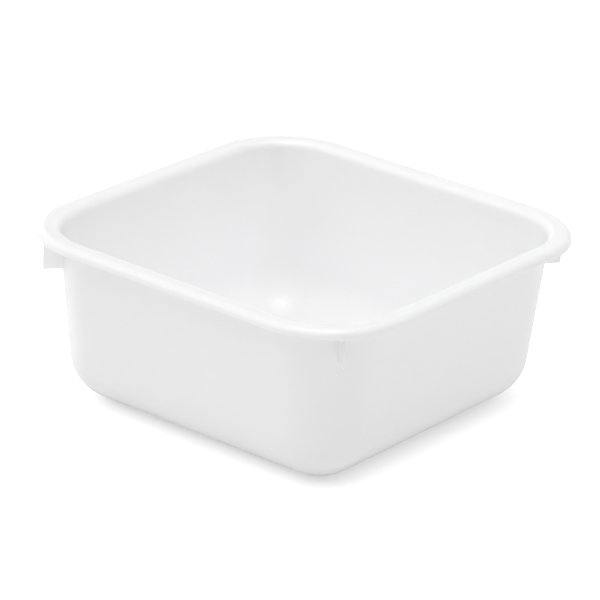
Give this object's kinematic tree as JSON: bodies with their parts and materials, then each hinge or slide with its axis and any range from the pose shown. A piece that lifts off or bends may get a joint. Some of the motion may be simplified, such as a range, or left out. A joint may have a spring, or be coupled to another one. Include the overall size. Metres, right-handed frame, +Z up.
{
  "type": "washing up bowl",
  "caption": "Square plastic washing up bowl with leaning sides, rounded corners, a domed rim with a turned-down lip, and a stacking lug under the rim at each corner.",
  "frame": {"origin": "on the surface that the bowl stands on, under the middle of its floor", "axes": "+Z up out of the bowl's mouth, X and Y square to the sides; front is -Y and right is +X"},
  "size_m": [0.32, 0.32, 0.137],
  "materials": {
    "bowl_plastic": "semi-gloss white polypropylene"
  },
  "bodies": {
    "root": {"base_panel": "bowl_plastic", "foot_ring": "bowl_plastic", "base_blend": "bowl_plastic", "tub_wall": "bowl_plastic", "rim_flange": "bowl_plastic", "corner_lug_front_right": "bowl_plastic", "corner_lug_front_left": "bowl_plastic", "corner_lug_back_right": "bowl_plastic", "corner_lug_back_left": "bowl_plastic"}
  },
  "joints": []
}
